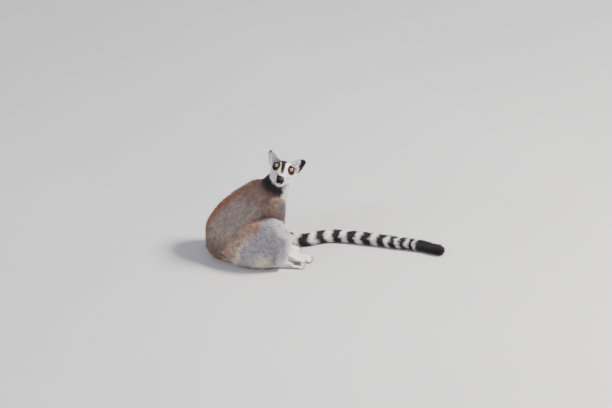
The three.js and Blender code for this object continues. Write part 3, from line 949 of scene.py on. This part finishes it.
def horn_material(name, tint, roughness, scale, coat):
    """Horn or bare skin: a grain of darker and lighter patches, and fine pores."""
    nodes = Nodes(name)
    mixer = nodes.add("ShaderNodeMix")
    mixer.data_type = "RGBA"
    dark, light = (socket for socket in mixer.inputs if socket.type == "RGBA")
    dark.default_value = (*(tint * 0.6), 1)
    light.default_value = (*(tint * 1.5), 1)
    nodes.link(nodes.noise(scale, 5.0), mixer.inputs["Factor"])
    result = next(socket for socket in mixer.outputs if socket.type == "RGBA")
    nodes.link(result, nodes.shader.inputs["Base Color"])
    pores = nodes.texture("ShaderNodeTexVoronoi", Scale=scale * 2.2)
    nodes.bump(pores.outputs["Distance"], 0.35, 0.3 * MM)
    return nodes.finish(Roughness=roughness, Coat_Weight=coat, Coat_Roughness=0.25)


# Rings of the iris: part of its scale from the middle, and display colour. The scale is in millimetres.
IRIS_SCALE = 7.8
IRIS_RINGS = [
    (0.0, (4, 4, 5)), (0.165, (5, 4, 5)), (0.195, (132, 80, 30)), (0.3, (214, 146, 58)),
    (0.4, (204, 130, 46)), (0.49, (150, 84, 28)), (0.56, (62, 33, 15)), (0.63, (15, 11, 9)),
]


def eye_material():
    """Pupil, amber iris, its dark outer ring and the dark white of the eye, round the ball's own Z."""
    nodes = Nodes("eye")
    split = nodes.texture("ShaderNodeSeparateXYZ")
    flat = nodes.add("ShaderNodeCombineXYZ")
    for axis in "XY":
        nodes.link(split.outputs[axis], flat.inputs[axis])
    length = nodes.vector("LENGTH", flat.outputs["Vector"])
    around = nodes.vector("NORMALIZE", flat.outputs["Vector"])
    streaks = nodes.add("ShaderNodeTexNoise", Scale=9.0, Detail=4.0, Roughness=0.6)
    nodes.link(around.outputs["Vector"], streaks.inputs["Vector"])
    reach = nodes.add("ShaderNodeMapRange", From_Max=IRIS_SCALE * MM)
    nodes.link(length.outputs["Value"], reach.inputs["Value"])
    rings = nodes.add("ShaderNodeValToRGB")
    nodes.link(reach.outputs["Result"], rings.inputs["Fac"])
    stops = rings.color_ramp.elements
    stops[0].position = IRIS_RINGS[0][0]
    stops[1].position = IRIS_RINGS[-1][0]
    for position, _ in IRIS_RINGS[1:-1]:
        stops.new(position)
    for stop, (_, value) in zip(stops, IRIS_RINGS):
        stop.color = (*colour(*value), 1)
    varied = nodes.shaded(rings.outputs["Color"], nodes.stretched(streaks.outputs["Fac"], 0.55, 1.45))
    nodes.link(varied, nodes.shader.inputs["Base Color"])
    return nodes.finish(Roughness=0.3, Coat_Weight=1.0, Coat_Roughness=0.03)


# ---------------------------------------------------------------- eyes, nose and nails
CAMERA_AT = np.array([0.1913, -5.1971, 3.1430])
EYE_RADIUS = 7.75
CORNEA = 0.035


def turned_to(axis, up=(0, 0, 1)):
    """Turn that takes the local Z axis to the given direction."""
    z = Vector(axis).normalized()
    x = Vector(up).cross(z).normalized()
    return Matrix((x, z.cross(x), z)).transposed()


def ball_mesh(name, segments, rings, shape):
    """Smooth mesh of a unit sphere whose corners the shape function has moved."""
    ball = bmesh.new()
    bmesh.ops.create_uvsphere(ball, u_segments=segments, v_segments=rings, radius=1.0)
    for vert, point in zip(ball.verts, shape(np.array([vert.co[:] for vert in ball.verts]))):
        vert.co = point
    for face in ball.faces:
        face.smooth = True
    mesh = bpy.data.meshes.new(name)
    ball.to_mesh(mesh)
    ball.free()
    return mesh


def eyeball(points):
    """Ball in metres, with the low bulge of the cornea round its own Z."""
    z = points[:, 2]
    bulge = CORNEA * ramp(z, 0.72, 0.9) * np.maximum(0, 1 - (1 - z) * 1.5)
    return points * (EYE_RADIUS * (1 + bulge) * MM)[:, None]


def build_eyes(material):
    for side, hand in (("left", 1), ("right", -1)):
        centre = from_head(*(EYE_PLACE * (1, hand, 1)))
        resting = gaze_axis(hand) @ HEAD_AXES
        axis = unit(0.45 * resting + 0.55 * unit(CAMERA_AT - centre))
        ball = ball_mesh(f"eye_{side}_ball", 64, 40, eyeball)
        # The front and the back of the ball, seen from their own ends, side by side.
        layer = ball.uv_layers.new(name="OFBake")
        for loop in ball.loops:
            x, y, z = ball.vertices[loop.vertex_index].co / (8.0 * MM)
            shift = 0.25 if z >= -1e-6 else 0.75
            layer.data[loop.index].uv = (shift + 0.23 * x, 0.5 + 0.46 * y)
        piece = add_piece(f"eye_{side}_ball", ball, material, (f"eye_{side}",))
        piece.matrix_world = Matrix.Translation(centre) @ turned_to(axis).to_4x4()


def nose_pad(points):
    """Bare pad with its two comma-shaped nostrils and the cleft below."""
    f, l, u = points.T
    wide = 6.1 * (1 - 0.35 * ramp(-u, -0.1, 1.0))
    shape = np.stack([np.tanh(1.5 * f) * 6.6, l * wide, u * 4.5], axis=1)
    for hand in (1, -1):
        across = (l - hand * 0.47) / 0.26
        height = (u + 0.12 + 0.25 * (np.abs(l) - 0.47)) / 0.2
        shape[:, 0] -= 2.4 * np.exp(-(across ** 2 + height ** 2)) * (f > 0)
        wing = np.exp(-(((l - hand * 0.72) / 0.18) ** 2 + ((u + 0.05) / 0.5) ** 2)) * (f > -0.2)
        shape[:, 1] += hand * 0.7 * wing
    shape[:, 0] -= 0.9 * np.exp(-(l / 0.1) ** 2) * (f > 0.2) * ramp(-u, -0.3, 0.3)
    return from_head(31.5, 0, -22.2) + shape @ HEAD_AXES * MM


def build_nose(material):
    add_piece("nose_pad", ball_mesh("nose_pad", 56, 36, nose_pad), material, ("nose",))


KNUCKLE_HEIGHT = 7
NAIL_HEIGHT = 2.8
NAIL_ROWS, NAIL_COLUMNS = 7, 8
NAIL_SHEET = NAIL_ROWS * NAIL_COLUMNS
NAIL_THICKNESS = 0.35
LEVEL = (1, 1, 0)


def digit_tips(side, ends, length, gap, reach_part, knuckle_part, rest):
    """Tips of the digits of one foot or hand and the way each points."""
    hand = 1 if side == "left" else -1
    back, front = (from_body(*JOINTS[side][name]) for name in ends)
    ahead = unit((front - back) * LEVEL)
    aside = np.cross(UP, ahead)
    root = back + ahead * length * knuckle_part * MM
    root[2] = (rest + KNUCKLE_HEIGHT) * MM
    reach = length * reach_part
    tips = []
    for index, place in enumerate((-1.5, -0.5, 0.5, 1.5)):
        knuckle = root + aside * place * gap * MM
        tip = knuckle + ahead * reach * (1 - 0.1 * abs(index - 1.5)) * MM
        tips.append((knuckle, tip + aside * place * gap * 0.35 * MM))
    thumb = root - ahead * reach * 0.7 * MM - aside * hand * gap * 1.2 * MM
    tips.append((thumb, thumb + ahead * reach * 0.66 * MM - aside * hand * gap * 1.7 * MM))
    height = (rest + NAIL_HEIGHT) * MM
    return [(np.append(tip[:2], height), unit((tip - knuckle) * LEVEL)) for knuckle, tip in tips]


def all_digit_tips():
    tips = []
    for side in ("left", "right"):
        tips += digit_tips(side, ("heel", "toes"), 92, 6.6, 0.3, 0.64, 0)
        # The right hand rests on the foot.
        rest = 17 if side == "right" else 0
        tips += digit_tips(side, ("wrist", "fingers"), 62, 5.4, 0.42, 0.42, rest)
    return tips


def nail_points(tip, ahead):
    """Upper, then lower sheet of one curved nail, row by row from its root."""
    aside = np.cross(UP, ahead)
    points = []
    for layer in (0.0, -NAIL_THICKNESS):
        for row in range(NAIL_ROWS):
            part = row / (NAIL_ROWS - 1)
            half = 1.5 * math.sqrt(max(0.02, 1 - (max(0.0, part - 0.45) / 0.56) ** 2))
            for column in range(NAIL_COLUMNS):
                turn = (column / (NAIL_COLUMNS - 1) * 2 - 1) * 1.15
                height = 2.3 - 1.4 * (1 - math.cos(turn)) - 1.7 * part ** 2 + layer
                along = -0.4 + 4.2 * part
                points.append(tip + (ahead * along + aside * half * math.sin(turn) + UP * height) * MM)
    return points


def nail_faces():
    """Quads of the two sheets and of the edge between them."""
    number = np.arange(NAIL_SHEET).reshape(NAIL_ROWS, NAIL_COLUMNS)
    faces = []
    for row in range(NAIL_ROWS - 1):
        for column in range(NAIL_COLUMNS - 1):
            a, b = number[row, column], number[row + 1, column]
            faces.append((a, a + 1, b + 1, b))
            faces.append((a + NAIL_SHEET, b + NAIL_SHEET, b + 1 + NAIL_SHEET, a + 1 + NAIL_SHEET))
    ring = [*number[:, 0], *number[-1, 1:], *number[-2::-1, -1], *number[0, -2:0:-1]]
    for a, b in zip(ring, ring[1:] + ring[:1]):
        faces.append((a, b, b + NAIL_SHEET, a + NAIL_SHEET))
    return np.array(faces)


def build_nails(material):
    """Curved nail on the end of each digit."""
    tips = all_digit_tips()
    points = [point for tip, ahead in tips for point in nail_points(tip, ahead)]
    starts = 2 * NAIL_SHEET * np.arange(len(tips))
    faces = (nail_faces() + starts[:, None, None]).reshape(-1, 4)
    add_piece("nails", make_mesh("nails", np.array(points), faces), material)


# ---------------------------------------------------------------- the coat
def roots_on(points, triangles, density, count):
    """Faces and places within them, spread by area times the density at each face."""
    a, b, c = (points[triangles[:, k]] for k in range(3))
    area = np.linalg.norm(np.cross(b - a, c - a), axis=1) / 2
    share = np.cumsum(area * density)
    steps = (np.arange(count) + RNG.random(count)) / count * share[-1]
    face = np.minimum(np.searchsorted(share, steps), len(triangles) - 1)
    first, second = RNG.random((2, count))
    flip = first + second > 1
    first, second = np.where(flip, 1 - first, first), np.where(flip, 1 - second, second)
    return face, np.stack([1 - first - second, first, second], axis=1)


def clumped(roots, count, strength):
    """Shift of each tuft towards the middle of its lock, and the lock's number."""
    seeds = roots[np.sort(RNG.choice(len(roots), count, replace=False))]
    tree = KDTree(len(seeds))
    for index, seed in enumerate(seeds.tolist()):
        tree.insert(seed, index)
    tree.balance()
    lock = np.array([tree.find(root)[1] for root in roots.tolist()])
    pull = strength * (0.6 + 0.8 * RNG.random(count))[lock]
    return (seeds[lock] - roots) * pull[:, None], lock


# A blade's corners across and along it, from -1 to 1, and its triangles: in two bent steps, or in one.
BLADES = {
    2: (
        np.array([(-1, -1), (0, -1), (1, -1), (-0.8, 0), (0, 0), (0.8, 0), (0, 1)]),
        np.array([(0, 1, 4), (0, 4, 3), (1, 2, 5), (1, 5, 4), (3, 4, 6), (4, 5, 6)]),
    ),
    1: (
        np.array([(-1, -1), (0, -1), (1, -1), (0, 1)]),
        np.array([(0, 1, 3), (1, 2, 3)]),
    ),
}
# Half the width and length of each tuft's patch on the unwrap of the skin.
PATCH_HALF = (0.0012, 0.0015)
ROOT_UNDER_SKIN = 0.5 * MM


def at_each(value, roots):
    """A style's value at the roots, where it may be a number or a function of the place."""
    return value(roots) if callable(value) else np.full(len(roots), float(value))


def blades(roots, normals, flow, depth, length, width, rise=1.0, locks=9, pull=0.5, stray=0.25,
           swirl=0.25, droop=0.0, segments=2):
    """Corners of bent, tapering blades with a ridge, gathered into locks; their flow and lock's draws."""
    count = len(roots)
    turn = swirl * waves(roots, 45, 41) + stray * RNG.normal(size=count) * 0.6
    flow = unit(flow * np.cos(turn)[:, None] + np.cross(normals, flow) * np.sin(turn)[:, None])
    shift, lock = clumped(roots, max(2, count // locks), pull)
    lock_random = RNG.random((lock.max() + 1, 3))[lock]
    reach = at_each(length, roots) * MM
    reach = reach * (0.78 + 0.3 * RNG.random(count)) * (0.85 + 0.3 * lock_random[:, 0])
    height = np.minimum(depth * rise * (0.62 + 0.42 * lock_random[:, 1]), reach * 0.9)
    height = height * (0.85 + 0.3 * RNG.random(count))
    level = np.sqrt(np.maximum(reach ** 2 - height ** 2, (0.2 * reach) ** 2))
    tip = normals * height[:, None] + flow * level[:, None] + shift
    tip[:, 2] -= at_each(droop, roots) * reach
    middle = normals * (height * 0.66)[:, None] + flow * (level * 0.42)[:, None] + shift * 0.3
    sideways = unit(np.cross(flow, normals))
    sideways = unit(sideways + (stray * RNG.normal(size=count))[:, None] * normals)
    half = width * MM * (0.75 + 0.5 * RNG.random(count))[:, None] / 2
    ridge, edge, sink = normals * half * 0.7, sideways * half, normals * ROOT_UNDER_SKIN
    if segments == 2:
        rows = [-edge - sink, ridge - sink, edge - sink, middle - edge * 0.85, middle + ridge,
                middle + edge * 0.85, tip]
    else:
        rows = [-edge - sink, ridge, edge - sink, tip]
    points = roots[:, None] + np.stack(rows, axis=1)
    points[:, :, 2] = np.maximum(points[:, :, 2], TUFT_OVER_FLOOR)
    return points, flow, lock_random


def soften_normals(mesh, normals, flow, size):
    """Normals of the blades, turned most of the way to the skin's so that the coat shades as one."""
    soft = np.repeat(normals, size, axis=0)
    own = np.empty(len(mesh.vertices) * 3, np.float32)
    mesh.vertex_normals.foreach_get("vector", own)
    own = own.reshape(-1, 3)
    own = np.where(np.sum(own * soft, axis=1, keepdims=True) < 0, -own, own)
    bend = unit(soft * 0.7 + own * 0.3 + np.repeat(flow * 0.15, size, axis=0))
    mesh.normals_split_custom_set_from_vertices(bend.tolist())


class Coat:
    """All that the tufts need from the skin."""

    def __init__(self, piece, material, points, triangles, weights, whole, low):
        self.piece = piece
        self.material = material
        self.points = points
        self.triangles = triangles
        self.weights = weights
        self.normals = vertex_normals(points, triangles)
        self.depth = np.maximum(-sample_block(whole, low, points), 0.2 * MM)
        flow = np.zeros_like(points)
        for index, name in enumerate(FLESH):
            share = weights[:, index]
            here = share > 0.01
            if here.any():
                flow[here] += share[here, None] * flow_of(name, points[here])
        flow = spread(on_surface(flow, self.normals), edges_of(triangles), 0.5, 6)
        self.flow = on_surface(flow, self.normals)

    def grow(self, name, slot, count, kinds, density=None, root_shade=0.55, tip_shade=1.14,
             contrast=0.24, **style):
        """One piece of coat: tufts rooted on the skin of the given kinds of node."""
        here = np.where(share_of(self.weights, *kinds) > 0.5, 1.0, 0.0)
        if density is not None:
            here = here * density(self.points)
        face_density = here[self.triangles].mean(axis=1)
        face, place = roots_on(self.points, self.triangles, face_density, count)
        patches = unwrap(self.piece, face_density > 0)[face]

        def read(values):
            return np.einsum("nk,nkj->nj", place, values[self.triangles[face]])

        roots, normals = read(self.points), unit(read(self.normals))
        tint = markings(roots, normals, read(self.weights))
        depth = read(self.depth[:, None])[:, 0]
        points, flow, lock = blades(roots, normals, on_surface(read(self.flow), normals), depth, **style)
        spots, pattern = BLADES[style.get("segments", 2)]
        size = len(spots)
        faces = (pattern + size * np.arange(count)[:, None, None]).reshape(-1, 3)
        mesh = make_mesh(name, points.reshape(-1, 3), faces)
        vary = 1 + contrast * (lock[:, 2] * 2 - 1) + 0.5 * contrast * RNG.normal(size=count)
        hues = tint * np.clip(vary, 0.4, 1.6)[:, None]
        shades = root_shade + (tip_shade - root_shade) * (spots[:, 1] + 1) / 2
        colours = np.clip(hues[:, None] * shades[None, :, None], 0, 0.95)
        set_colours(mesh, "coat_colour", colours.reshape(-1, 3))
        root_uv = np.einsum("nk,nkj->nj", place, patches)
        corner_uv = (root_uv[:, None] + spots * PATCH_HALF).reshape(-1, 2)
        layer = mesh.uv_layers.new(name="OFBake")
        layer.data.foreach_set("uv", corner_uv[faces.ravel()].astype(np.float32).ravel())
        soften_normals(mesh, normals, flow, size)
        add_piece(name, mesh, self.material)


# ---------------------------------------------------------------- skin colours and where the coat grows
def paint_skin(mesh, points, normals, weights):
    """Markings of the coat with painted shade where the coat over the skin is deep, and bare dark lids, lips
    and cleft.
    """
    head_places = in_head(points)
    lips, cleft = near_mouth(head_places)
    on_face = share_of(weights, "head", "lower_jaw") > 0.5
    dark_line = np.where(on_face, np.maximum(lips, cleft), 0)
    lid = np.zeros(len(points))
    for hand in (1, -1):
        rim, _, far, _ = from_opening(head_places, hand)
        lid = np.maximum(lid, ramp(14 - rim, 0, 4) * (far < LID_REGION))
    # Painted shade on the skin where the coat over it is deep.
    deep = 1 - share_of(weights, "head", "ear", "lower_jaw", "foot", "hand")
    tint = markings(points, normals, weights) * (1 - 0.25 * deep)[:, None]
    set_colours(mesh, "skin_colour", mix(tint, LINE_DARK, np.maximum(dark_line, lid * 0.9)))


def beside_eyes(points):
    """1 where hair may grow, 0 on the rims of the lids and between them."""
    head = in_head(points)
    rims = []
    for hand in (1, -1):
        rim, _, far, _ = from_opening(head, hand)
        rims.append(np.where(far < LID_REGION, rim, 90))
    return ramp(np.minimum(*rims), 5, 9)


def face_length(points):
    return np.interp(in_head(points)[:, 0], [-55, -35, -18, 0, 20, 32], [12, 8.5, 5.5, 3.6, 2.2, 1.6])


def face_density(points):
    return beside_eyes(points) * np.interp(in_head(points)[:, 0], [-50, -15, 10], [0.5, 1.0, 2.2])


def thigh_length(points):
    return 16 + 8 * by_heel(points)


def thigh_droop(points):
    return 0.04 + 0.55 * by_heel(points)


def shank_length(points):
    return np.interp(points[:, 2] / MM, [14, 60], [5.5, 13])


# X in metres where the tail's coat is divided into two pieces.
TAIL_SPLIT = 0.2


def near_tail(points):
    return (points[:, 0] < TAIL_SPLIT).astype(float)


def far_tail(points):
    return 1 - near_tail(points)


def grow_coat(coat):
    face = {"width": 0.7, "locks": 5, "pull": 0.3, "contrast": 0.07, "root_shade": 0.8, "tip_shade": 1.06}
    coat.grow("coat_head", "face_fur", 46000, ("head", "lower_jaw", "nose"), face_density,
              length=face_length, segments=1, **face)
    ears = {"width": 0.55, "locks": 6, "pull": 0.3, "contrast": 0.07, "root_shade": 0.75, "tip_shade": 1.05}
    coat.grow("coat_ears", "face_fur", 16000, ("ear",), length=6.5, rise=4.5, segments=1, **ears)
    coat.grow("coat_neck", "body_fur", 15000, ("neck",), length=17, width=1.0, contrast=0.2)
    coat.grow("coat_trunk", "body_fur", 32000, ("rump", "belly", "chest"), length=20, width=1.3,
              droop=0.05, rise=1.1)
    coat.grow("coat_thighs", "limb_fur", 32000, ("thigh",), length=thigh_length, width=1.15,
              droop=thigh_droop)
    coat.grow("coat_shanks", "limb_fur", 28000, ("shank",), length=shank_length, width=1.0)
    coat.grow("coat_arms", "limb_fur", 30000, ("upper_arm", "forearm"), length=12.5, width=1.0,
              rise=1.15)
    paws = {"width": 0.7, "pull": 0.25, "contrast": 0.06, "root_shade": 0.8, "tip_shade": 1.05}
    coat.grow("coat_feet", "paw_fur", 42000, ("foot", "hand"), length=4.5, segments=1, **paws)
    tail = {"length": 17, "width": 1.1, "pull": 0.35, "contrast": 0.1, "root_shade": 0.75}
    coat.grow("coat_tail_near", "tail_fur", 24000, ("tail",), near_tail, **tail)
    coat.grow("coat_tail_far", "tail_fur", 30000, ("tail",), far_tail, **tail)


# ---------------------------------------------------------------- floor, light and camera
FLOOR_HALF = 6
LIT_AT = (0.15, 0, 0.15)
LOOKED_AT = Vector((0.1913, -0.001, 0.1430))


def area_light(name, place, size, power, tint):
    data = bpy.data.lights.new(name, "AREA")
    data.shape = "DISK"
    data.size = size
    data.energy = power
    data.color = tint
    lamp = bpy.data.objects.new(name, data)
    lamp.location = place
    lamp.rotation_euler = (Vector(LIT_AT) - Vector(place)).to_track_quat("-Z", "Y").to_euler()
    bpy.context.scene.collection.objects.link(lamp)


def build_floor():
    nodes = Nodes("floor")
    grey = nodes.stretched(nodes.noise(1.4, 4.0), 0.5, 0.6)
    mixed = nodes.add("ShaderNodeCombineColor")
    for channel in ("Red", "Green", "Blue"):
        nodes.link(grey, mixed.inputs[channel])
    nodes.link(mixed.outputs["Color"], nodes.shader.inputs["Base Color"])
    points = np.array([(-1, -1, 0), (1, -1, 0), (1, 1, 0), (-1, 1, 0)]) * FLOOR_HALF
    floor = bpy.data.objects.new("floor", make_mesh("floor", points, np.array([[0, 1, 2, 3]]), False))
    floor.data.materials.append(nodes.finish(Roughness=0.85))
    bpy.context.scene.collection.objects.link(floor)


def build_light():
    world = bpy.data.worlds.new("studio")
    bpy.context.scene.world = world
    world.use_nodes = True
    background = world.node_tree.nodes["Background"]
    background.inputs["Color"].default_value = (0.83, 0.83, 0.97, 1)
    background.inputs["Strength"].default_value = 0.6
    area_light("key", (2.5, -0.7, 2.9), 0.8, 350, (1.0, 0.96, 0.9))
    area_light("fill", (-3.0, -3.2, 3.2), 1.6, 120, (0.97, 0.94, 1.0))


def build_camera():
    data = bpy.data.cameras.new("camera")
    data.sensor_width = 36
    data.lens = 148.2
    data.clip_end = 50
    camera = bpy.data.objects.new("camera", data)
    camera.location = CAMERA_AT
    camera.rotation_euler = (LOOKED_AT - camera.location).to_track_quat("-Z", "Y").to_euler()
    bpy.context.scene.collection.objects.link(camera)
    bpy.context.scene.camera = camera


# ---------------------------------------------------------------- the whole scene
skin_points, skin_faces, skin_weights, outside, outside_corner = finish_skin()
skin_mesh = make_mesh("skin", skin_points, skin_faces)
skin_nodes = [name for name in FLESH if name != "nose"]
skin = add_piece("skin", skin_mesh, skin_material(), skin_nodes)
lemur_coat = Coat(skin, coat_material(), skin_points, skin_faces, skin_weights, outside, outside_corner)
paint_skin(skin_mesh, skin_points, lemur_coat.normals, skin_weights)
build_eyes(eye_material())
build_nose(horn_material("nose leather", colour(13, 12, 13), 0.55, 700.0, 0.08))
build_nails(horn_material("nail horn", colour(88, 80, 78), 0.45, 500.0, 0.2))
grow_coat(lemur_coat)
unwrap(skin)
build_floor()
build_light()
build_camera()
bpy.context.view_layer.update()
